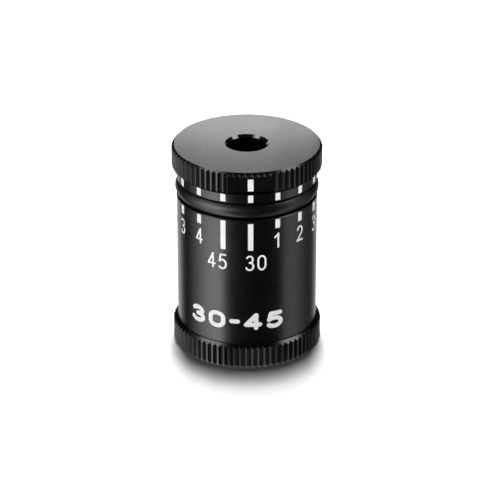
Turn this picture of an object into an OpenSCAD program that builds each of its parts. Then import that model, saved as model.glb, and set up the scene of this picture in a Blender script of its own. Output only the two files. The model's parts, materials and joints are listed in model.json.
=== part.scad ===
// Adjustable ride height gauge, shown at its lowest setting.
// The knob's top face is the measuring face. Its stem carries three helical grooves that run on three
// guide pins in the sleeve, so turning the knob anticlockwise, seen from above, raises it.
// An O-ring round the sleeve presses the pins inwards, and its drag holds the setting.
// Origin: centre of the base foot's underside. +Z is up, and the knob's pointer faces -Y.

/* [Gauge] */
// Height from the underside to the measuring face at the lowest setting
closed_height = 30; // [29:0.5:40]
// How far the knob rises from its lowest to its highest setting
travel = 15; // [6:0.5:16]
// Rise of the knob in one full turn
lead = 16; // [15:0.5:24]

/* [Knob] */
// Diameter over the knurl
knob_d = 21.1; // [20.2:0.1:26]
// Thickness of the knurled disc
knob_t = 3; // [2:0.1:4]
// Chamfer on its upper edge
knob_chamfer = 0.35; // [0.2:0.05:0.6]
// Diameter of the centre hole
hole_d = 5.5; // [3:0.1:6.4]
// Chamfer at the mouth of the centre hole
hole_chamfer = 0.35; // [0.1:0.05:0.6]
// Width of the flat that carries the pointer
flat_w = 6.9; // [4:0.1:9]
// Height of the uncut edge left above the flat
flat_ledge = 0.6; // [0.4:0.05:1]
// Diameter of the spigot that presses into the stem
knob_spigot_d = 8; // [7.2:0.1:8.6]
// Length of the spigot that presses into the stem
knob_spigot_h = 3; // [1.5:0.1:5]

/* [Base foot] */
// Diameter over the knurl
foot_d = 21.1; // [20.2:0.1:30]
// Thickness of the knurled disc
foot_t = 3.4; // [2.5:0.1:4]
// Chamfer on its upper edge
foot_chamfer = 0.5; // [0.2:0.05:0.6]
// Height of the ring that presses into the sleeve
foot_spigot_h = 1; // [0.6:0.1:1.6]
// Wall of the ring that presses into the sleeve
foot_spigot_wall = 0.8; // [0.5:0.05:0.9]

/* [Sleeve] */
// Outside diameter
sleeve_d = 19.8; // [19:0.1:20]
// Height of the rim above the O-ring groove
rim_h = 1.5; // [1:0.1:2.4]
// Width of the O-ring groove
o_groove_w = 2.5; // [2.5:0.1:3.2]
// Diameter of the chamber that the guide ring slides in
chamber_d = 13.4; // [12.9:0.1:13.8]
// Small chamfer on turned edges
edge_break = 0.15; // [0.05:0.05:0.3]

/* [O-ring] */
// Thickness of the cord
cord_d = 2.4; // [1.8:0.1:2.4]
// How far the O-ring stands proud of the sleeve
o_ring_proud = 0.2; // [0:0.05:0.4]

/* [Stem] */
// Outside diameter
stem_d = 12; // [11.4:0.1:12.3]
// Diameter of the hole through it
stem_bore_d = 6.4; // [5:0.1:7]
// Diameter of the tail that carries the guide ring
tail_d = 9.6; // [9:0.1:10]
// Length of tail left below the retaining ring
tail_land = 0.8; // [0.4:0.1:1.2]

/* [Guide pins] */
// Diameter of each pin
pin_d = 2; // [1.4:0.1:2.2]
// Chamfer on both ends of each pin
pin_chamfer = 0.3; // [0.1:0.05:0.5]
// How deep the helical grooves are cut into the stem
spiral_depth = 1.15; // [0.6:0.05:1.3]

/* [Guide ring] */
// Height of the ring
guide_ring_h = 1.8; // [1:0.1:2.6]
// Thickness of the retaining ring under it
clip_t = 0.6; // [0.4:0.05:0.8]
// Depth of the retaining ring's groove in the tail
clip_seat = 0.6; // [0.3:0.05:0.8]
// Radial width of the retaining ring
clip_w = 1.35; // [1:0.05:1.5]
// Angle of the retaining ring's mouth, seen from its centre
clip_mouth = 60; // [40:5:80]

/* [Knurl] */
// Distance from tooth to tooth
knurl_pitch = 0.87; // [0.6:0.01:1.4]
// Depth of the grooves between teeth
knurl_depth = 0.26; // [0.16:0.02:0.4]
// Width of the flat on top of each tooth
knurl_land = 0.2; // [0.1:0.02:0.3]

/* [Fits] */
// Radial gap between parts that slide or turn
slide_gap = 0.04; // [0.02:0.01:0.1]
// Radial gap in parts that are pressed together
press_gap = 0.01; // [0.005:0.005:0.02]
// Gap between a guide pin and the sides of its groove
pin_gap = 0.06; // [0.03:0.01:0.1]
// Gap between the knob and the sleeve's rim at the lowest setting
rim_gap = 0.4; // [0.1:0.05:0.6]
// Gap kept at the ends of the travel and above the floor
end_gap = 0.3; // [0.1:0.05:0.5]

/* [Hidden] */
$fn = 128;

black_anodised = [0.07, 0.07, 0.075];
black_rubber = [0.03, 0.03, 0.03];
pale_acetal = [0.86, 0.85, 0.8];
bright_steel = [0.7, 0.71, 0.73];

// Overshoot that lets a cut pass clear through a face
past = 1;

knob_z = closed_height - knob_t;
sleeve_top = knob_z - rim_gap;
sleeve_r = sleeve_d / 2;
o_groove_top = sleeve_top - rim_h;
o_groove_bottom = o_groove_top - o_groove_w;
pin_z = (o_groove_top + o_groove_bottom) / 2;

cord_r = cord_d / 2;
o_ring_r = sleeve_r + o_ring_proud - cord_r;
o_groove_r = o_ring_r - cord_r - press_gap;

stem_r = stem_d / 2;
guide_bore_r = stem_r + slide_gap;
chamber_r = chamber_d / 2;
foot_spigot_r = chamber_r - press_gap;
foot_recess_r = foot_spigot_r - foot_spigot_wall;

// The stack on the tail is set out upwards from the ring of the base foot.
guide_ring_bottom = foot_t + foot_spigot_h + end_gap;
guide_ring_top = guide_ring_bottom + guide_ring_h;
shoulder_z = guide_ring_top + travel + end_gap;
clip_top = guide_ring_bottom - slide_gap;
clip_bottom = clip_top - clip_t;
stem_bottom = clip_bottom - tail_land;
foot_floor = stem_bottom - end_gap;
tail_r = tail_d / 2;
clip_seat_r = tail_r - clip_seat;
guide_ring_r = chamber_r - slide_gap;
guide_ring_hole_r = tail_r + slide_gap;

knob_spigot_r = knob_spigot_d / 2;
socket_r = knob_spigot_r + press_gap;
socket_floor = knob_z - knob_spigot_h - end_gap;

pin_r = pin_d / 2;
pin_count = 3;
first_pin_angle = 90;
// The rim of the pin's outer end lies just below the bottom of the O-ring groove.
pin_outer_r = sqrt(pow(o_groove_r, 2) - pow(pin_r, 2)) - slide_gap;
spiral_floor_r = stem_r - spiral_depth;
pin_tip_r = spiral_floor_r + pin_gap;

// Helical grooves, laid out flat at the radius of their floor: along the turn, then up the stem.
spiral_r = pin_r + pin_gap;
spiral_outer_r = stem_r + past;
spiral_turn = 360 * travel / lead;
spiral_run = spiral_turn * spiral_floor_r * PI / 180;
spiral_slope = atan(travel / spiral_run);
// Sections of a groove: at most this many degrees apart on its straight, and at these angles of its ends
spiral_step = 7.5;
spiral_steps = ceil(spiral_turn / spiral_step);
spiral_end_angles = [84 : -14 : -28];

function pin_angle(i) = first_pin_angle + i * 360 / pin_count;

// Outline of a straight knurl: the bottom of each V, then the land of the tooth beside it.
function knurl_teeth(d) = 4 * round(PI * d / (4 * knurl_pitch));
function polar(r, a) = [r * cos(a), r * sin(a)];
function knurl_outline(d) =
    let (n = knurl_teeth(d), step = 360 / n, half_land = knurl_land / d * 180 / PI)
    [for (i = [0 : n - 1]) each [
        polar(d / 2 - knurl_depth, i * step),
        polar(d / 2, (i + 0.5) * step - half_land),
        polar(d / 2, (i + 0.5) * step + half_land)
    ]];

// Ring that cuts a 45 degree chamfer of width c on the upper outer edge of a disc of diameter d.
module edge_cutter(d, top, c) {
    rotate_extrude()
        polygon([
            [d / 2 - c - past, top + past],
            [d / 2 + past, top + past],
            [d / 2 + past, top - c - past]
        ]);
}

// Disc with a straight knurl and a chamfered upper edge.
module knurled_disc(d, t, chamfer) {
    difference() {
        linear_extrude(t) polygon(knurl_outline(d));
        edge_cutter(d, t, chamfer);
    }
}

// Upper and lower side of a groove with a round end, at distance x past the centre of that end.
function end_high(x) = x < -spiral_r * sin(spiral_slope)
    ? x * tan(spiral_slope) + spiral_r / cos(spiral_slope)
    : sqrt(pow(spiral_r, 2) - pow(x, 2));
function end_low(x) = x < spiral_r * sin(spiral_slope)
    ? x * tan(spiral_slope) - spiral_r / cos(spiral_slope)
    : -sqrt(pow(spiral_r, 2) - pow(x, 2));

// The lower half of the groove is the upper half turned end for end.
function groove_high(x) = x > -spiral_run / 2 ? end_high(x) : -travel - end_low(-spiral_run - x);
function groove_low(x) = x > -spiral_run / 2 ? end_low(x) : -travel - end_high(-spiral_run - x);

// Corners of the groove where a plane through the stem's axis cuts it.
function groove_section(start_angle, x) =
    let (a = start_angle + x / spiral_floor_r * 180 / PI, low = pin_z + groove_low(x), high = pin_z + groove_high(x))
    [for (c = [[spiral_floor_r, low], [spiral_outer_r, low], [spiral_outer_r, high], [spiral_floor_r, high]])
        [c[0] * cos(a), c[0] * sin(a), c[1]]];

// One helical groove, from the pin's place at the lowest setting down to its place at the highest.
module spiral_groove(start_angle) {
    round_end = [for (t = spiral_end_angles) spiral_r * sin(t)];
    straight = [for (s = [1 : spiral_steps - 1]) -spiral_run * s / spiral_steps];
    other_end = [for (k = [len(round_end) - 1 : -1 : 0]) -spiral_run - round_end[k]];
    stations = concat(round_end, straight, other_end);
    last = 4 * (len(stations) - 1);
    sides = [for (s = [0 : 4 : last - 4], j = [0 : 3])
        let (a = s + j, b = s + (j + 1) % 4)
        each [[a, b + 4, b], [a, a + 4, b + 4]]];
    ends = [[0, 1, 2], [0, 2, 3], [last, last + 2, last + 1], [last, last + 3, last + 2]];
    polyhedron(
        points = [for (x = stations) each groove_section(start_angle, x)],
        faces = concat(sides, ends)
    );
}

// Cylinder that points outwards at angle a and height z, from radius r0 to radius r1.
module radial_hole(a, z, r0, r1, r) {
    rotate([0, 0, a])
        translate([r0, 0, z])
            rotate([0, 90, 0])
                cylinder(h = r1 - r0, r = r);
}

// Turned sleeve: scale surface outside, O-ring groove near the top, guide bore above the chamber.
module sleeve() {
    profile = [
        [chamber_r, foot_t],
        [sleeve_r, foot_t],
        [sleeve_r, o_groove_bottom - edge_break],
        [sleeve_r - edge_break, o_groove_bottom],
        [o_groove_r, o_groove_bottom],
        [o_groove_r, o_groove_top],
        [sleeve_r - edge_break, o_groove_top],
        [sleeve_r, o_groove_top + edge_break],
        [sleeve_r, sleeve_top - edge_break],
        [sleeve_r - edge_break, sleeve_top],
        [guide_bore_r + edge_break, sleeve_top],
        [guide_bore_r, sleeve_top - edge_break],
        [guide_bore_r, shoulder_z],
        [chamber_r, shoulder_z]
    ];
    color(black_anodised)
        difference() {
            rotate_extrude() polygon(profile);
            for (i = [0 : pin_count - 1])
                radial_hole(pin_angle(i), pin_z, guide_bore_r - past, o_groove_r + past, pin_r + press_gap);
        }
}

// Knurled foot with a ring that closes the lower end of the sleeve.
module base_foot() {
    color(black_anodised)
        difference() {
            union() {
                knurled_disc(foot_d, foot_t, foot_chamfer);
                translate([0, 0, foot_t / 2])
                    cylinder(h = foot_t / 2 + foot_spigot_h, r = foot_spigot_r);
            }
            translate([0, 0, foot_floor])
                cylinder(h = foot_t + foot_spigot_h, r = foot_recess_r);
            mirror([0, 0, 1])
                edge_cutter(foot_d, 0, edge_break);
        }
}

module o_ring() {
    color(black_rubber)
        rotate_extrude()
            translate([o_ring_r, pin_z])
                circle(r = cord_r);
}

// Hardened pin: its outer end under the O-ring, its chamfered nose in the helical groove.
module guide_pin(i) {
    color(bright_steel)
        rotate([0, 0, pin_angle(i)])
            translate([0, 0, pin_z])
                rotate([0, 90, 0])
                    rotate_extrude()
                        polygon([
                            [0, pin_tip_r],
                            [pin_r - pin_chamfer, pin_tip_r],
                            [pin_r, pin_tip_r + pin_chamfer],
                            [pin_r, pin_outer_r - pin_chamfer],
                            [pin_r - pin_chamfer, pin_outer_r],
                            [0, pin_outer_r]
                        ]);
}

// Plain ring that slides in the chamber while the stem turns inside it, and stops the stem at the top.
module guide_ring() {
    color(pale_acetal)
        translate([0, 0, guide_ring_bottom])
            difference() {
                cylinder(h = guide_ring_h, r = guide_ring_r);
                translate([0, 0, -past])
                    cylinder(h = guide_ring_h + 2 * past, r = guide_ring_hole_r);
            }
}

// Hollow stem: socket for the knob at the top, helical grooves, then a stepped tail.
module stem() {
    profile = [
        [stem_bore_d / 2, stem_bottom],
        [tail_r - edge_break, stem_bottom],
        [tail_r, stem_bottom + edge_break],
        [tail_r, clip_bottom],
        [clip_seat_r, clip_bottom],
        [clip_seat_r, clip_top],
        [tail_r, clip_top],
        [tail_r, guide_ring_top + slide_gap],
        [stem_r, guide_ring_top + slide_gap],
        [stem_r, knob_z],
        [socket_r, knob_z],
        [socket_r, socket_floor],
        [stem_bore_d / 2, socket_floor]
    ];
    color(black_anodised)
        difference() {
            rotate_extrude() polygon(profile);
            for (i = [0 : pin_count - 1])
                spiral_groove(pin_angle(i));
        }
}

// Snap ring in the tail's groove, with a straight mouth.
module retaining_ring() {
    mouth = 2 * clip_seat_r * sin(clip_mouth / 2);
    color(bright_steel)
        translate([0, 0, clip_bottom])
            difference() {
                cylinder(h = clip_t, r = clip_seat_r + press_gap + clip_w);
                translate([0, 0, -past])
                    cylinder(h = clip_t + 2 * past, r = clip_seat_r + press_gap);
                translate([0, -mouth / 2, -past])
                    cube([tail_d, mouth, clip_t + 2 * past]);
            }
}

// Knurled knob: measuring face on top, pointer flat in front, spigot for the stem underneath.
module knob() {
    flat_y = sqrt(pow(knob_d / 2, 2) - pow(flat_w / 2, 2));
    color(black_anodised)
        difference() {
            union() {
                translate([0, 0, knob_z])
                    knurled_disc(knob_d, knob_t, knob_chamfer);
                translate([0, 0, knob_z - knob_spigot_h])
                    cylinder(h = knob_spigot_h + knob_t / 2, r = knob_spigot_r);
            }
            translate([-flat_w, -flat_y - knob_d, knob_z - past])
                cube([2 * flat_w, knob_d, knob_t - flat_ledge + past]);
            translate([0, 0, knob_z - knob_spigot_h - past])
                cylinder(h = closed_height, d = hole_d);
            translate([0, 0, closed_height - hole_chamfer])
                cylinder(h = hole_chamfer + past, d1 = hole_d, d2 = hole_d + 2 * (hole_chamfer + past));
        }
}

sleeve();
base_foot();
o_ring();
guide_pin(0);  // guide_pin_1
guide_pin(1);  // guide_pin_2
guide_pin(2);  // guide_pin_3
guide_ring();
stem();
retaining_ring();
knob();
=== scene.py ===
# Looks of the ride height gauge: finishes on the turned pieces, white filled scale, studio and camera.
# Lengths are in metres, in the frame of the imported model: +Z up, -Y the front, +X to the right.
import json
from math import cos, pi, radians, sin, sqrt

import bmesh
import bpy
from mathutils import Matrix, Vector


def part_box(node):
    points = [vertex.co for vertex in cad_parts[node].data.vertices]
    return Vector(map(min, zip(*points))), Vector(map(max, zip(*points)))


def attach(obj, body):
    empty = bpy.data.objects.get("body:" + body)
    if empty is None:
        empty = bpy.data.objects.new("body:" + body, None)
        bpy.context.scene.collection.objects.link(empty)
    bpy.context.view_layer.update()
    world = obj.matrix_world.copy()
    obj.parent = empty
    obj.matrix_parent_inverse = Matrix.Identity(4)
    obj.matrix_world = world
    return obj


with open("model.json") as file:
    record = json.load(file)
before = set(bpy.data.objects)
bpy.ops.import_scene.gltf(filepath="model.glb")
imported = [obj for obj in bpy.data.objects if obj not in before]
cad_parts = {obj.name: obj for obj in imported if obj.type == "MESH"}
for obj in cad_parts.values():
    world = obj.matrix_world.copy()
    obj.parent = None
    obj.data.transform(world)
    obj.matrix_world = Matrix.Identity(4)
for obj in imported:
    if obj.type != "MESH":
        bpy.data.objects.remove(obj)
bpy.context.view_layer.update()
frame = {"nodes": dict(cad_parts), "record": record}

MM = 0.001

# Camera, fitted to the rims of the knob and the foot in the photograph
VIEW_AZIMUTH = radians(-3.0)
VIEW_ELEVATION = radians(26.08)
VIEW_DISTANCE = 355 * MM
AIM_HEIGHT = 13.33 * MM
AIM_RIGHT = 0.43 * MM
NEAREST_SEEN = 5 * MM
# The lens and the sensor are in millimetres.
LENS = 179.2
SENSOR_WIDTH = 36

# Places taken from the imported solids
SLEEVE_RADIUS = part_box("sleeve")[1].x
RIM_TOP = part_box("sleeve")[1].z
KNOB_RADIUS = max(vertex.co.xy.length for vertex in frame["nodes"]["knob"].data.vertices)
KNOB_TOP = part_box("knob")[1].z
O_RING_HEIGHT = (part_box("o_ring")[0].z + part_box("o_ring")[1].z) / 2

# Turned edges of the sleeve and the flat on the knob
O_GROOVE_WIDTH = 2.5 * MM
EDGE_BREAK = 0.15 * MM
FLAT_WIDTH = 6.9 * MM
FLAT_DISTANCE = sqrt(KNOB_RADIUS ** 2 - (FLAT_WIDTH / 2) ** 2)

# What tells the cut faces of the knob and the foot from the others

# More than this share of a bevel's normal runs along the axis, and as much across it.
BEVEL_SLOPE = 0.5
# Bevels nearer to the axis than this are the hole's.
HOLE_BEVEL_RADIUS = 3.2 * MM
# How far in from the edge of the knob a rim's bevels and the knurl's flanks may lie
RIM_BEVEL_REACH = 0.6 * MM
KNURL_REACH = 0.3 * MM
# A flank's normal is nearly level, and less than this share of it runs straight outwards.
LEVEL = 0.99
FLANK_FACING = 0.9

# White filled engraving
FILL_PROUD = 0.012 * MM
FILL_SUNK = 0.02 * MM
LOWEST_MARK = 30
MARKS = 16
MARK_ANGLE = radians(22.5)
MARK_SPACING = MARK_ANGLE * SLEEVE_RADIUS
LONG_EVERY = 5
MARK_WIDTH = 0.73 * MM
LONG_MARK = 4.4 * MM
SHORT_MARK = 1.34 * MM
RIM_MARK = 1.1 * MM
# The lowest mark starts a little below the others.
FIRST_MARK_DROP = 0.33 * MM
# Columns of points across a mark, so that it bends with the sleeve
MARK_COLUMNS = 6
POINTER_WIDTH = 0.79 * MM
POINTER_HEIGHT = 1.76 * MM
POINTER_DROP = 1.12 * MM
POINTER_TOP = KNOB_TOP - POINTER_DROP

# Figures of the scale: height, width and pen of each, tops of the two rows
FIGURE_HEIGHT = 2.38 * MM
FIGURE_WIDTH = 1.29 * MM
FIGURE_PEN = 0.26 * MM
FIGURE_GAP = 0.39 * MM
SHORT_ROW_TOP = 20.4 * MM
LONG_ROW_TOP = 17.3 * MM
# The first and the last label stand aside, so that they don't run into each other.
FIRST_LABEL_SHIFT = 0.74 * MM
LAST_LABEL_SHIFT = -0.92 * MM
LABEL_SHIFT = {0: FIRST_LABEL_SHIFT, MARKS - 1: LAST_LABEL_SHIFT}

# Range mark low on the sleeve
RANGE_TEXT = "30-45"
RANGE_HEIGHT = 2.66 * MM
RANGE_WIDTH = 2.6 * MM
RANGE_PEN = 0.66 * MM
RANGE_GAP = 0.55 * MM
RANGE_TOP = 8.29 * MM
RANGE_ANGLE = radians(-13.2)
# Width of a dash next to that of a figure
DASH_SHARE = 0.6


# Node trees
def add(tree, kind, inputs=None, **settings):
    """A new node with its settings, and with its inputs linked to sockets or set to values."""
    made = tree.nodes.new(kind)
    for name, value in settings.items():
        setattr(made, name, value)
    for key, value in (inputs or {}).items():
        if isinstance(value, bpy.types.NodeSocket):
            tree.links.new(value, made.inputs[key])
        else:
            made.inputs[key].default_value = value
    return made


def compute(tree, operation, *values):
    """The result of one sum, product or the like of sockets and numbers."""
    return add(tree, "ShaderNodeMath", dict(enumerate(values)), operation=operation).outputs[0]


def new_group(name, kind, inputs, outputs):
    """A node group with named sockets. Returns the tree, the sockets that it is given and its output node."""
    tree = bpy.data.node_groups.new(name, kind)
    for socket, (socket_type, value) in inputs.items():
        made = tree.interface.new_socket(socket, in_out="INPUT", socket_type=socket_type)
        if value is not None:
            made.default_value = value
    for socket, socket_type in outputs.items():
        tree.interface.new_socket(socket, in_out="OUTPUT", socket_type=socket_type)
    return tree, tree.nodes.new("NodeGroupInput").outputs, tree.nodes.new("NodeGroupOutput")


# Finishes

# Turning marks and grain in mm, unless a finish gives its own, and how fine their noise is
RING_PITCH = 0.09
GRAIN_SIZE = 0.06
GRAIN_DETAIL = 2.0
# Slow changes of the gloss, and the span of their noise that goes from smooth to rough
CLOUDS_PER_MM = 0.35
CLOUD_DETAIL = 4.0
CLOUD_LOW = 0.3
CLOUD_HIGH = 0.7


def noise(tree, place, scale, detail, **settings):
    """Values from 0 to 1 that wander over a surface."""
    inputs = {"Vector": place, "Scale": scale, "Detail": detail}
    return add(tree, "ShaderNodeTexNoise", inputs, **settings).outputs[0]


def turned_grain_group():
    """Fine rings round the Z axis, as a lathe leaves them, over an even blasted grain. Sizes in mm."""
    tree, given, out = new_group(
        "turned_grain", "ShaderNodeTree",
        {"Ring Pitch": ("NodeSocketFloat", RING_PITCH), "Grain Size": ("NodeSocketFloat", GRAIN_SIZE),
         "Ring Share": ("NodeSocketFloat", 0.0)},
        {"Height": "NodeSocketFloat", "Cloud": "NodeSocketFloat"})
    place = add(tree, "ShaderNodeTexCoord").outputs["Object"]
    to_mm = add(tree, "ShaderNodeVectorMath", {"Vector": place, "Scale": 1 / MM}, operation="SCALE")
    in_mm = to_mm.outputs[0]
    x, y, z = add(tree, "ShaderNodeSeparateXYZ", {"Vector": in_mm}).outputs
    squares = [compute(tree, "MULTIPLY", axis, axis) for axis in (x, y)]
    radius = compute(tree, "SQRT", compute(tree, "ADD", *squares))
    across = add(tree, "ShaderNodeCombineXYZ", {"X": radius, "Y": z}).outputs[0]
    ring_scale = compute(tree, "DIVIDE", 1.0, given["Ring Pitch"])
    grain_scale = compute(tree, "DIVIDE", 1.0, given["Grain Size"])
    rings = noise(tree, across, ring_scale, GRAIN_DETAIL, noise_dimensions="2D")
    grain = noise(tree, in_mm, grain_scale, GRAIN_DETAIL)
    cloud = noise(tree, in_mm, CLOUDS_PER_MM, CLOUD_DETAIL)
    height = add(tree, "ShaderNodeMix", {"Factor": given["Ring Share"], "A": grain, "B": rings})
    tree.links.new(height.outputs["Result"], out.inputs["Height"])
    tree.links.new(cloud, out.inputs["Cloud"])
    return tree


TURNED_GRAIN = turned_grain_group()


def finish(name, colours, roughness, bump, ring_share, ring_pitch=RING_PITCH, grain_size=GRAIN_SIZE,
           **constants):
    """A material whose colour and roughness wander between two values each, with a fine bump."""
    material = bpy.data.materials.new(name)
    material.use_nodes = True
    tree = material.node_tree
    shader = tree.nodes["Principled BSDF"]
    for socket, value in constants.items():
        shader.inputs[socket].default_value = value
    surface = add(tree, "ShaderNodeGroup", {
        "Ring Pitch": ring_pitch, "Grain Size": grain_size, "Ring Share": ring_share,
    }, node_tree=TURNED_GRAIN).outputs
    height, cloud = surface["Height"], surface["Cloud"]
    dark, light = colours
    smooth, rough = roughness
    colour = add(tree, "ShaderNodeMix", {"Factor": height, "A": dark, "B": light}, data_type="RGBA")
    gloss = add(tree, "ShaderNodeMapRange", {
        "Value": cloud, "From Min": CLOUD_LOW, "From Max": CLOUD_HIGH, "To Min": smooth, "To Max": rough})
    relief = add(tree, "ShaderNodeBump", {"Height": height, "Strength": 1.0, "Distance": bump})
    tree.links.new(colour.outputs["Result"], shader.inputs["Base Color"])
    tree.links.new(gloss.outputs[0], shader.inputs["Roughness"])
    tree.links.new(relief.outputs[0], shader.inputs["Normal"])
    return material


def grey(value, warm=0.0):
    """An opaque grey, with a little more red and less blue if it is warm."""
    return (value * (1 + warm), value, value * (1 - warm), 1.0)


BLACK_DYE = (grey(0.0015), grey(0.0025))
ANODISED = finish("anodised_black", BLACK_DYE, roughness=(0.26, 0.3), bump=0.0003 * MM,
                  ring_share=0.45, IOR=1.5)
# Where a tool has cut: smooth bevels round the hole and the rims, their reflectivity raised as a painted
# glint, and rougher flanks between the teeth, their reflectivity lowered as painted shade in the grooves
HOLE_BEVEL = finish("anodised_hole_bevel", BLACK_DYE, roughness=(0.08, 0.12), bump=0.0002 * MM,
                    ring_share=0.8, IOR=1.95)
RIM_BEVEL = finish("anodised_rim_bevel", BLACK_DYE, roughness=(0.16, 0.2), bump=0.0002 * MM,
                   ring_share=0.8, IOR=1.6)
DULL_FLANK_PAINTED_SHADE = finish("anodised_flank_painted_shade", BLACK_DYE, roughness=(0.42, 0.5), bump=0.0006 * MM,
                    ring_share=0.2, IOR=1.36)
RUBBER = finish("rubber_black", (grey(0.002), grey(0.003)), roughness=(0.33, 0.39), bump=0.0008 * MM,
                ring_share=0.15, ring_pitch=0.2, grain_size=0.08, IOR=1.44)
STEEL = finish("bright_steel", (grey(0.52), grey(0.62)), roughness=(0.2, 0.3), bump=0.0006 * MM,
               ring_share=0.8, ring_pitch=0.05, grain_size=0.05, Metallic=1.0)
ACETAL = finish("acetal", (grey(0.74, 0.02), grey(0.8, 0.02)), roughness=(0.35, 0.45), bump=0.001 * MM,
                ring_share=0.6, ring_pitch=0.12, grain_size=0.1, IOR=1.48)
WHITE_FILL = finish("scale_white", (grey(0.8), grey(0.88)), roughness=(0.45, 0.6), bump=0.001 * MM,
                    ring_share=0.0, IOR=1.5)

FINISH_OF_SLOT = {
    "anodised_black": ANODISED,
    "rubber_black": RUBBER,
    "bright_steel": STEEL,
    "acetal": ACETAL,
}


def dress_cad_nodes():
    """Every carried-over CAD piece takes the finish of its slot in the record."""
    for subpart in frame["record"]["subparts"]:
        piece = frame["nodes"][subpart["node"]]
        piece.data.materials.clear()
        piece.data.materials.append(FINISH_OF_SLOT[subpart["material_slot"]])


def cut_finish(face):
    """The material of a bevel or of a knurl's flank, told by place and slope, or None for any other face. The
    bevels carry a painted glint, the flanks painted shade.
    """
    radius = face.center.xy.length
    outwards = face.normal.xy.dot(face.center.xy.normalized())
    sloping = min(abs(face.normal.z), abs(outwards)) > BEVEL_SLOPE
    if sloping and radius < HOLE_BEVEL_RADIUS:
        return HOLE_BEVEL
    if sloping and radius > KNOB_RADIUS - RIM_BEVEL_REACH:
        return RIM_BEVEL
    upright = face.normal.xy.length > LEVEL
    if upright and outwards < FLANK_FACING and radius > KNOB_RADIUS - KNURL_REACH:
        return DULL_FLANK_PAINTED_SHADE
    return None


def dress_cut_faces():
    """On the knurled pieces, the bevels take a copy of the anodising with a painted glint, and the flanks of
    the teeth one with painted shade.
    """
    for name in ("knob", "base_foot"):
        mesh = frame["nodes"][name].data
        for face in mesh.polygons:
            cut = cut_finish(face)
            if cut and cut.name not in mesh.materials:
                mesh.materials.append(cut)
            if cut:
                face.material_index = mesh.materials.find(cut.name)


# Engraving, set out flat first: x along the turn, y up, z out of the surface
def wrap_group():
    """Bends the flat layout round the sleeve, with x = 0 at the front."""
    tree, given, out = new_group(
        "wrap_on_sleeve", "GeometryNodeTree",
        {"Geometry": ("NodeSocketGeometry", None), "Radius": ("NodeSocketFloat", SLEEVE_RADIUS)},
        {"Geometry": "NodeSocketGeometry"})
    flat = add(tree, "GeometryNodeInputPosition").outputs[0]
    along, up, outwards = add(tree, "ShaderNodeSeparateXYZ", {"Vector": flat}).outputs
    angle = compute(tree, "DIVIDE", along, given["Radius"])
    reach = compute(tree, "ADD", outwards, given["Radius"])
    right = compute(tree, "MULTIPLY", reach, compute(tree, "SINE", angle))
    forwards = compute(tree, "MULTIPLY", reach, compute(tree, "COSINE", angle))
    back = compute(tree, "MULTIPLY", forwards, -1.0)
    place = add(tree, "ShaderNodeCombineXYZ", {"X": right, "Y": back, "Z": up}).outputs[0]
    bent = add(tree, "GeometryNodeSetPosition", {"Geometry": given["Geometry"], "Position": place})
    tree.links.new(bent.outputs[0], out.inputs["Geometry"])
    return tree


WRAP = wrap_group()


def end_on_sleeve(tree, flat, fill, out):
    """The end of a tree: its flat shapes are bent round the sleeve and get their material."""
    bent = add(tree, "GeometryNodeGroup", {"Geometry": flat}, node_tree=WRAP).outputs[0]
    filled = add(tree, "GeometryNodeSetMaterial", {"Geometry": bent, "Material": fill}).outputs[0]
    tree.links.new(filled, out.inputs["Geometry"])


def marks_tree():
    """A row of bars hanging from one height, every so many of them long, bent round the sleeve."""
    tree, given, out = new_group(
        "scale_marks", "GeometryNodeTree",
        {"Marks": ("NodeSocketInt", MARKS), "Spacing": ("NodeSocketFloat", MARK_SPACING),
         "Long Every": ("NodeSocketInt", LONG_EVERY), "Long Length": ("NodeSocketFloat", 0.0),
         "Short Length": ("NodeSocketFloat", 0.0), "Width": ("NodeSocketFloat", MARK_WIDTH),
         "Top": ("NodeSocketFloat", 0.0), "First Drop": ("NodeSocketFloat", 0.0),
         "Proud": ("NodeSocketFloat", FILL_PROUD), "Sunk": ("NodeSocketFloat", FILL_SUNK),
         "Fill": ("NodeSocketMaterial", None)},
        {"Geometry": "NodeSocketGeometry"})
    index = add(tree, "GeometryNodeInputIndex").outputs[0]
    short = compute(tree, "MODULO", index, given["Long Every"])
    full_length = add(tree, "GeometryNodeSwitch", {
        "Switch": short, "False": given["Long Length"], "True": given["Short Length"],
    }, input_type="FLOAT").outputs[0]
    first = compute(tree, "LESS_THAN", index, 1.0)
    drop = compute(tree, "MULTIPLY", first, given["First Drop"])
    length = compute(tree, "SUBTRACT", full_length, drop)
    top = compute(tree, "SUBTRACT", given["Top"], drop)
    thickness = compute(tree, "ADD", given["Proud"], given["Sunk"])
    stands_out = compute(tree, "SUBTRACT", given["Proud"], given["Sunk"])
    middle = add(tree, "ShaderNodeCombineXYZ", {
        "X": compute(tree, "MULTIPLY", index, given["Spacing"]),
        "Y": compute(tree, "SUBTRACT", top, compute(tree, "MULTIPLY", length, 0.5)),
        "Z": compute(tree, "MULTIPLY", stands_out, 0.5),
    }).outputs[0]
    size = add(tree, "ShaderNodeCombineXYZ", {"X": given["Width"], "Y": length, "Z": thickness}).outputs[0]
    points = add(tree, "GeometryNodePoints", {"Count": given["Marks"], "Position": middle}).outputs[0]
    bar = add(tree, "GeometryNodeMeshCube", {"Size": (1, 1, 1), "Vertices X": MARK_COLUMNS}).outputs[0]
    bars = add(tree, "GeometryNodeInstanceOnPoints", {"Points": points, "Instance": bar, "Scale": size})
    real = add(tree, "GeometryNodeRealizeInstances", {"Geometry": bars.outputs[0]}).outputs[0]
    end_on_sleeve(tree, real, given["Fill"], out)
    return tree


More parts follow.
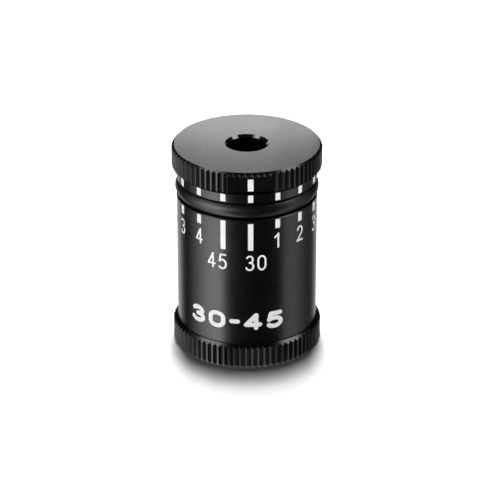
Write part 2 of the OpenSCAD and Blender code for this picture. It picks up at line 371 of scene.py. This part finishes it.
def figures_tree():
    """Joins the strokes of the figures where they cross and bends them round the sleeve."""
    tree, given, out = new_group(
        "figures", "GeometryNodeTree",
        {"Geometry": ("NodeSocketGeometry", None), "Fill": ("NodeSocketMaterial", None)},
        {"Geometry": "NodeSocketGeometry"})
    joined = add(tree, "GeometryNodeMeshBoolean", operation="UNION", solver="EXACT")
    joined.inputs["Self Intersection"].default_value = True
    tree.links.new(given["Geometry"], joined.inputs["Mesh 2"])
    end_on_sleeve(tree, joined.outputs[0], given["Fill"], out)
    return tree


MARKS_TREE = marks_tree()
FIGURES_TREE = figures_tree()


def linked_object(name, data):
    """A new object in the scene, at the origin."""
    made = bpy.data.objects.new(name, data)
    bpy.context.scene.collection.objects.link(made)
    return made


def plain_mesh(name, mesh, tree, values):
    """A new object with the result of a Geometry Nodes tree as its own mesh."""
    source = linked_object(name + "_source", mesh)
    modifier = source.modifiers.new("shape", "NODES")
    modifier.node_group = tree
    for item in tree.interface.items_tree:
        if item.in_out == "INPUT" and item.name in values:
            modifier[item.identifier] = values[item.name]
    evaluated = source.evaluated_get(bpy.context.evaluated_depsgraph_get())
    result = bpy.data.meshes.new_from_object(evaluated)
    bpy.data.objects.remove(source)
    return linked_object(name, result)


# Degrees from one point of a bow to the next
BOW_STEP = 15


def bow(x, y, rx, ry, start, stop):
    """Points on an ellipse, from one angle to another in degrees."""
    steps = round(abs(stop - start) / BOW_STEP)
    angles = [radians(start + (stop - start) * i / steps) for i in range(steps + 1)]
    return [(x + rx * cos(a), y + ry * sin(a)) for a in angles]


# Each figure is a few pen strokes in a square from (0, 0) to (1, 1).
SIX = [bow(0.5, 0.32, 0.5, 0.32, 0, 360), bow(0.53, 0.58, 0.53, 0.42, 32, 180) + [(0, 0.32)]]
FIGURES = {
    "0": [bow(0.5, 0.66, 0.5, 0.34, 0, 180) + bow(0.5, 0.34, 0.5, 0.34, 180, 360) + [(1, 0.66)]],
    "1": [[(0.1, 0.74), (0.36, 0.85), (0.6, 1)], [(0.6, 1), (0.6, 0)]],
    "2": [bow(0.5, 0.71, 0.46, 0.29, 165, -35) + [(0, 0)], [(0, 0), (1, 0)]],
    "3": [bow(0.47, 0.76, 0.42, 0.24, 155, -90), bow(0.47, 0.27, 0.5, 0.27, 90, -155)],
    "4": [[(0.72, 0), (0.72, 1)], [(0.72, 1), (0, 0.26)], [(0, 0.26), (1, 0.26)]],
    "5": [[(0.92, 1), (0.2, 1)], [(0.2, 1), (0.07, 0.52)], bow(0.46, 0.32, 0.52, 0.32, 140, -142)],
    "6": SIX,
    "7": [[(0, 1), (1, 1)], [(1, 1), (0.7, 0.65), (0.5, 0.33), (0.38, 0)]],
    "8": [bow(0.5, 0.76, 0.43, 0.24, 0, 360), bow(0.5, 0.27, 0.5, 0.27, 0, 360)],
    "9": [[(1 - x, 1 - y) for x, y in stroke] for stroke in SIX],
    "-": [[(0, 0.5), (1, 0.5)]],
}
# The usual straight step of a stroke, so that it bends with the sleeve
STROKE_STEP = 0.22 * MM
# Ends of a stroke that are nearer to each other than this meet.
SAME_POINT = STROKE_STEP / 100
# Where the round end of a stroke has its points, from its tip inwards
PEN_END_ANGLES = [radians(angle) for angle in (80, 55, 30)]


def stepped(points):
    """The same line with its long stretches cut into short ones."""
    line = [Vector(points[0])]
    for point in points[1:]:
        start, end = line[-1], Vector(point)
        steps = max(1, round((end - start).length / STROKE_STEP))
        line += [start.lerp(end, (i + 1) / steps) for i in range(steps)]
    return line


def pen_end(station, turn):
    """Stations of a round end, from its tip inwards. The turn is 1 at a stroke's start and -1 at its end."""
    middle, across, half = station
    onwards = Vector((-across.y, across.x)) * turn
    return [(middle + onwards * half * sin(a), across, half * cos(a)) for a in PEN_END_ANGLES]


def pen_stations(points, pen, round_ends):
    """Where a round pen passes: middle, direction across and half width, one after another."""
    line = stepped(points)
    closed = (line[0] - line[-1]).length < SAME_POINT
    if closed:
        line.pop()
    stations = []
    for i, middle in enumerate(line):
        before = line[i - 1] if closed or i else middle
        after = line[(i + 1) % len(line)] if closed or i < len(line) - 1 else middle
        along = (after - before).normalized()
        stations.append((middle, Vector((-along.y, along.x)), pen / 2))
    if round_ends and not closed:
        stations = pen_end(stations[0], 1) + stations + pen_end(stations[-1], -1)[::-1]
    return stations, closed


def draw_stroke(bm, points, pen, round_ends=True):
    """A closed strip of filling along a stroke, from below the surface to just above it."""
    stations, closed = pen_stations(points, pen, round_ends)
    rings = []
    for middle, across, half in stations:
        left, right = middle + across * half, middle - across * half
        corners = ((left, -FILL_SUNK), (right, -FILL_SUNK), (right, FILL_PROUD), (left, FILL_PROUD))
        rings.append([bm.verts.new((*side, height)) for side, height in corners])
    for i in range(len(rings) if closed else len(rings) - 1):
        here, there = rings[i], rings[(i + 1) % len(rings)]
        for j in range(len(here)):
            k = (j + 1) % len(here)
            bm.faces.new((here[j], here[k], there[k], there[j]))
    if not closed:
        bm.faces.new(rings[0][::-1])
        bm.faces.new(rings[-1])


def write_figures(bm, text, middle, top, height, width, gap, pen):
    """Figures of one size in a row, centred on a place along the turn."""
    widths = [width * (DASH_SHARE if figure == "-" else 1) for figure in text]
    left = middle - (sum(widths) + gap * (len(text) - 1)) / 2
    bottom = top - height
    for figure, wide in zip(text, widths):
        for stroke in FIGURES[figure]:
            draw_stroke(bm, [(left + pen / 2 + x * (wide - pen), bottom + pen / 2 + y * (height - pen))
                             for x, y in stroke], pen)
        left += wide + gap


def finished_mesh(name, bm):
    """The drawn mesh, with its faces pointing outwards."""
    bmesh.ops.recalc_face_normals(bm, faces=bm.faces)
    mesh = bpy.data.meshes.new(name)
    bm.to_mesh(mesh)
    bm.free()
    return mesh


def scale_figures():
    """The whole number below each long mark, and the last digit below each short one."""
    bm = bmesh.new()
    for mark in range(MARKS):
        number = str(LOWEST_MARK + mark)
        long = mark % LONG_EVERY == 0
        text = number if long else number[-1]
        top = LONG_ROW_TOP if long else SHORT_ROW_TOP
        middle = mark * MARK_SPACING + LABEL_SHIFT.get(mark, 0)
        write_figures(bm, text, middle, top, FIGURE_HEIGHT, FIGURE_WIDTH, FIGURE_GAP, FIGURE_PEN)
    return plain_mesh("scale_figures", finished_mesh("flat_figures", bm), FIGURES_TREE, {"Fill": WHITE_FILL})


def range_mark():
    """The two ends of the scale, in bold figures."""
    bm = bmesh.new()
    middle = RANGE_ANGLE * SLEEVE_RADIUS
    write_figures(bm, RANGE_TEXT, middle, RANGE_TOP, RANGE_HEIGHT, RANGE_WIDTH, RANGE_GAP, RANGE_PEN)
    return plain_mesh("range_mark", finished_mesh("flat_range", bm), FIGURES_TREE, {"Fill": WHITE_FILL})


def pointer_mark():
    """Bar on the flat of the knob, which reads against the scale."""
    bm = bmesh.new()
    bottom = POINTER_TOP - POINTER_HEIGHT
    draw_stroke(bm, [(0, bottom), (0, POINTER_TOP)], POINTER_WIDTH, round_ends=False)
    stand_up = Matrix.Translation((0, -FLAT_DISTANCE, 0)) @ Matrix.Rotation(pi / 2, 4, "X")
    bmesh.ops.transform(bm, matrix=stand_up, verts=bm.verts)
    mesh = finished_mesh("pointer", bm)
    mesh.materials.append(WHITE_FILL)
    return linked_object("pointer_mark", mesh)


def engraving():
    """Marks and figures on the sleeve, and the pointer, which turns with the knob."""
    groove_bottom = O_RING_HEIGHT - O_GROOVE_WIDTH / 2
    empty = bpy.data.meshes.new("no_points")
    marks = plain_mesh("scale_marks", empty, MARKS_TREE, {
        "Top": groove_bottom - EDGE_BREAK, "First Drop": FIRST_MARK_DROP,
        "Long Length": LONG_MARK, "Short Length": SHORT_MARK, "Fill": WHITE_FILL})
    rim_marks = plain_mesh("rim_marks", empty, MARKS_TREE, {
        "Top": RIM_TOP - EDGE_BREAK,
        "Long Length": RIM_MARK, "Short Length": RIM_MARK, "Fill": WHITE_FILL})
    for piece in (marks, rim_marks, scale_figures(), range_mark()):
        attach(piece, "housing")
    pointer = pointer_mark()
    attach(pointer, "adjuster")


# Studio
def camera_at_photo_view():
    """The camera stands in front of the gauge, a little to the left, and looks down on it."""
    level = cos(VIEW_ELEVATION)
    back = Vector((sin(VIEW_AZIMUTH) * level, -cos(VIEW_AZIMUTH) * level, sin(VIEW_ELEVATION)))
    right = Vector((cos(VIEW_AZIMUTH), sin(VIEW_AZIMUTH), 0))
    aim = Vector((0, 0, AIM_HEIGHT)) + right * AIM_RIGHT
    data = bpy.data.cameras.new("camera")
    data.lens = LENS
    data.sensor_width = SENSOR_WIDTH
    data.clip_start = NEAREST_SEEN
    camera = linked_object("camera", data)
    camera.location = aim + back * VIEW_DISTANCE
    camera.rotation_euler = back.to_track_quat("Z", "Y").to_euler()
    bpy.context.scene.camera = camera


# Floor
FLOOR_RADIUS = 3.0
FLOOR_SIDES = 96
FLOOR_WHITE = 0.9
FLOOR_ROUGHNESS = 0.28
FLOOR_IOR = 2.2
# The lamps light it round the gauge. Further out it glows as white as the room, so that no horizon shows.
GLOW_STARTS = 0.1
GLOW_FULL = 0.3
ROOM_WHITE = 1.6


def floor():
    """White polished floor, which faintly mirrors the foot."""
    bm = bmesh.new()
    bmesh.ops.create_circle(bm, cap_ends=True, segments=FLOOR_SIDES, radius=FLOOR_RADIUS)
    made = linked_object("floor", finished_mesh("floor", bm))
    material = bpy.data.materials.new("floor_white")
    material.use_nodes = True
    tree = material.node_tree
    shader = tree.nodes["Principled BSDF"]
    shader.inputs["Base Color"].default_value = grey(FLOOR_WHITE)
    shader.inputs["Roughness"].default_value = FLOOR_ROUGHNESS
    shader.inputs["IOR"].default_value = FLOOR_IOR
    shader.inputs["Emission Strength"].default_value = ROOM_WHITE
    place = add(tree, "ShaderNodeTexCoord").outputs["Object"]
    distance = add(tree, "ShaderNodeVectorMath", {"Vector": place}, operation="LENGTH").outputs["Value"]
    glow = add(tree, "ShaderNodeMapRange", {
        "Value": distance, "From Min": GLOW_STARTS, "From Max": GLOW_FULL, "To Min": 0.0, "To Max": 1.0})
    tree.links.new(glow.outputs[0], shader.inputs["Emission Color"])
    made.data.materials.append(material)
    # It is lit and seen, but its mirror image would grey the black sides of the gauge. It casts no shadow,
    # so that the softboxes below the horizon reach them.
    made.visible_glossy = False
    made.visible_shadow = False


def softbox_group():
    """A soft-edged patch of the studio between two azimuths and two elevations, in degrees."""
    sockets = ("Azimuth", "Elevation", "From", "From Softness", "To", "To Softness",
               "Low", "High", "Rise Softness", "Strength")
    tree, given, out = new_group(
        "softbox", "ShaderNodeTree",
        {name: ("NodeSocketFloat", 0.0) for name in sockets},
        {"Light": "NodeSocketFloat"})
    # Each edge with its angle, its softness, and 1 if the patch lies above it or 0 if below
    edges = (
        ("Azimuth", "From", "From Softness", 1),
        ("Azimuth", "To", "To Softness", 0),
        ("Elevation", "Low", "Rise Softness", 1),
        ("Elevation", "High", "Rise Softness", 0),
    )
    light = given["Strength"]
    for angle, edge, softness, above in edges:
        mask = add(tree, "ShaderNodeMapRange", {
            "Value": given[angle],
            "From Min": compute(tree, "SUBTRACT", given[edge], given[softness]),
            "From Max": compute(tree, "ADD", given[edge], given[softness]),
            "To Min": 1 - above,
            "To Max": above,
        }, interpolation_type="SMOOTHSTEP").outputs[0]
        light = compute(tree, "MULTIPLY", light, mask)
    tree.links.new(light, out.inputs["Light"])
    return tree


def softbox(turn, turn_softness, rise, rise_softness, strength):
    """Values of one softbox: its ends in azimuth and in elevation, how soft each is, and its strength."""
    return {"From": turn[0], "From Softness": turn_softness[0],
            "To": turn[1], "To Softness": turn_softness[1],
            "Low": rise[0], "High": rise[1], "Rise Softness": rise_softness, "Strength": strength}


# An azimuth past every direction, for a softbox that runs on to the back
NO_END = 400
STRAIGHT_DOWN = -90
# What shows in the gloss of the gauge, by azimuth from the camera's side and by elevation. What lies below
# the horizon stands for the pale floor, which the gloss doesn't see.
SOFTBOXES = {
    "left": softbox((-76, -39.5), (40, 6), (STRAIGHT_DOWN, 34), 8, strength=5.5),
    "left_middle": softbox((-74, -22), (8, 8), (-2, 28), 6, strength=4.5),
    "left_upper": softbox((-91, -53), (7, 7), (36, 60), 6, strength=4.2),
    "right": softbox((62, 96), (8, 26), (STRAIGHT_DOWN, 34), 8, strength=1.5),
    "right_upper": softbox((72, 101), (5, 5), (35, 57), 5, strength=4.6),
    "right_far": softbox((100, NO_END), (12, 1), (STRAIGHT_DOWN, -12), 5, strength=0.12),
    "back_left": softbox((-NO_END, -138), (1, 12), (STRAIGHT_DOWN, -12), 5, strength=1.3),
    "back_right": softbox((148, NO_END), (12, 1), (STRAIGHT_DOWN, -12), 5, strength=1.1),
}
STUDIO_GLOOM = 0.015


def reflected_studio():
    """What the gloss mirrors: a dark room with softboxes. The camera sees plain white past the floor."""
    world = bpy.data.worlds.new("studio")
    bpy.context.scene.world = world
    world.use_nodes = True
    world.cycles_visibility.diffuse = False
    tree = world.node_tree
    tree.nodes.clear()
    way = add(tree, "ShaderNodeTexCoord").outputs["Generated"]
    x, y, z = add(tree, "ShaderNodeSeparateXYZ", {"Vector": way}).outputs
    to_degrees = 180 / pi
    from_front = compute(tree, "ARCTAN2", x, compute(tree, "MULTIPLY", y, -1.0))
    from_camera = compute(tree, "SUBTRACT", from_front, VIEW_AZIMUTH)
    azimuth = compute(tree, "MULTIPLY", from_camera, to_degrees)
    elevation = compute(tree, "MULTIPLY", compute(tree, "ARCSINE", z), to_degrees)
    light = STUDIO_GLOOM
    box = softbox_group()
    for name, values in SOFTBOXES.items():
        inputs = {"Azimuth": azimuth, "Elevation": elevation, **values}
        patch = add(tree, "ShaderNodeGroup", inputs, node_tree=box, name=name)
        light = compute(tree, "ADD", light, patch.outputs[0])
    seen = add(tree, "ShaderNodeLightPath").outputs["Is Camera Ray"]
    strength = compute(tree, "MAXIMUM", light, compute(tree, "MULTIPLY", seen, ROOM_WHITE))
    background = add(tree, "ShaderNodeBackground", {"Strength": strength})
    output = add(tree, "ShaderNodeOutputWorld")
    tree.links.new(background.outputs[0], output.inputs["Surface"])


def area_light(name, place, aim, size, radiance, glossy):
    """A rectangular light. Its radiance is what a mirror would show of it."""
    data = bpy.data.lights.new(name, "AREA")
    data.shape = "RECTANGLE"
    data.size, data.size_y = size
    data.energy = pi * size[0] * size[1] * radiance
    made = linked_object(name, data)
    made.location = place
    made.rotation_euler = (Vector(place) - Vector(aim)).to_track_quat("Z", "Y").to_euler()
    made.visible_camera = False
    made.visible_glossy = glossy


def lamp(name, place, aim, size, radiance):
    """A light that the gloss doesn't show."""
    area_light(name, place, aim, size, radiance, glossy=False)


def screen(name, place, size, radiance):
    """A lit screen behind the knob that faces forwards and shows in the gloss."""
    right, _, height = place
    area_light(name, place, (right, 0, height), size, radiance, glossy=True)


def lights():
    """Lamps for the floor and the white filling, and screens for the measuring face."""
    # A narrow strip and a panel overhead, behind the gauge, so that its shadow falls a short way forwards
    lamp("floor_strip", (0.005, 0.075, 0.7), aim=(0.005, 0.075, 0), size=(0.032, 0.122), radiance=316)
    lamp("floor_panel", (0.005, 0.191, 0.7), aim=(0.005, 0.191, 0), size=(0.113, 0.233), radiance=70)
    lamp("front_light", (-0.15, -0.9, 0.08), aim=(0, 0, 0.015), size=(0.9, 0.12), radiance=7.6)
    # The screens stand close, and shade the measuring face from far to near and to its sides.
    screen("low_screen", (0.0005, 0.025, 0.037), size=(0.024, 0.008), radiance=2.65)
    screen("high_screen", (0.0005, 0.026, 0.045), size=(0.027, 0.03), radiance=0.63)
    screen("middle_screen", (0, 0.027, 0.045), size=(0.012, 0.026), radiance=0.33)


camera_at_photo_view()
dress_cad_nodes()
dress_cut_faces()
engraving()
floor()
reflected_studio()
lights()
bpy.context.scene.view_settings.view_transform = "Standard"
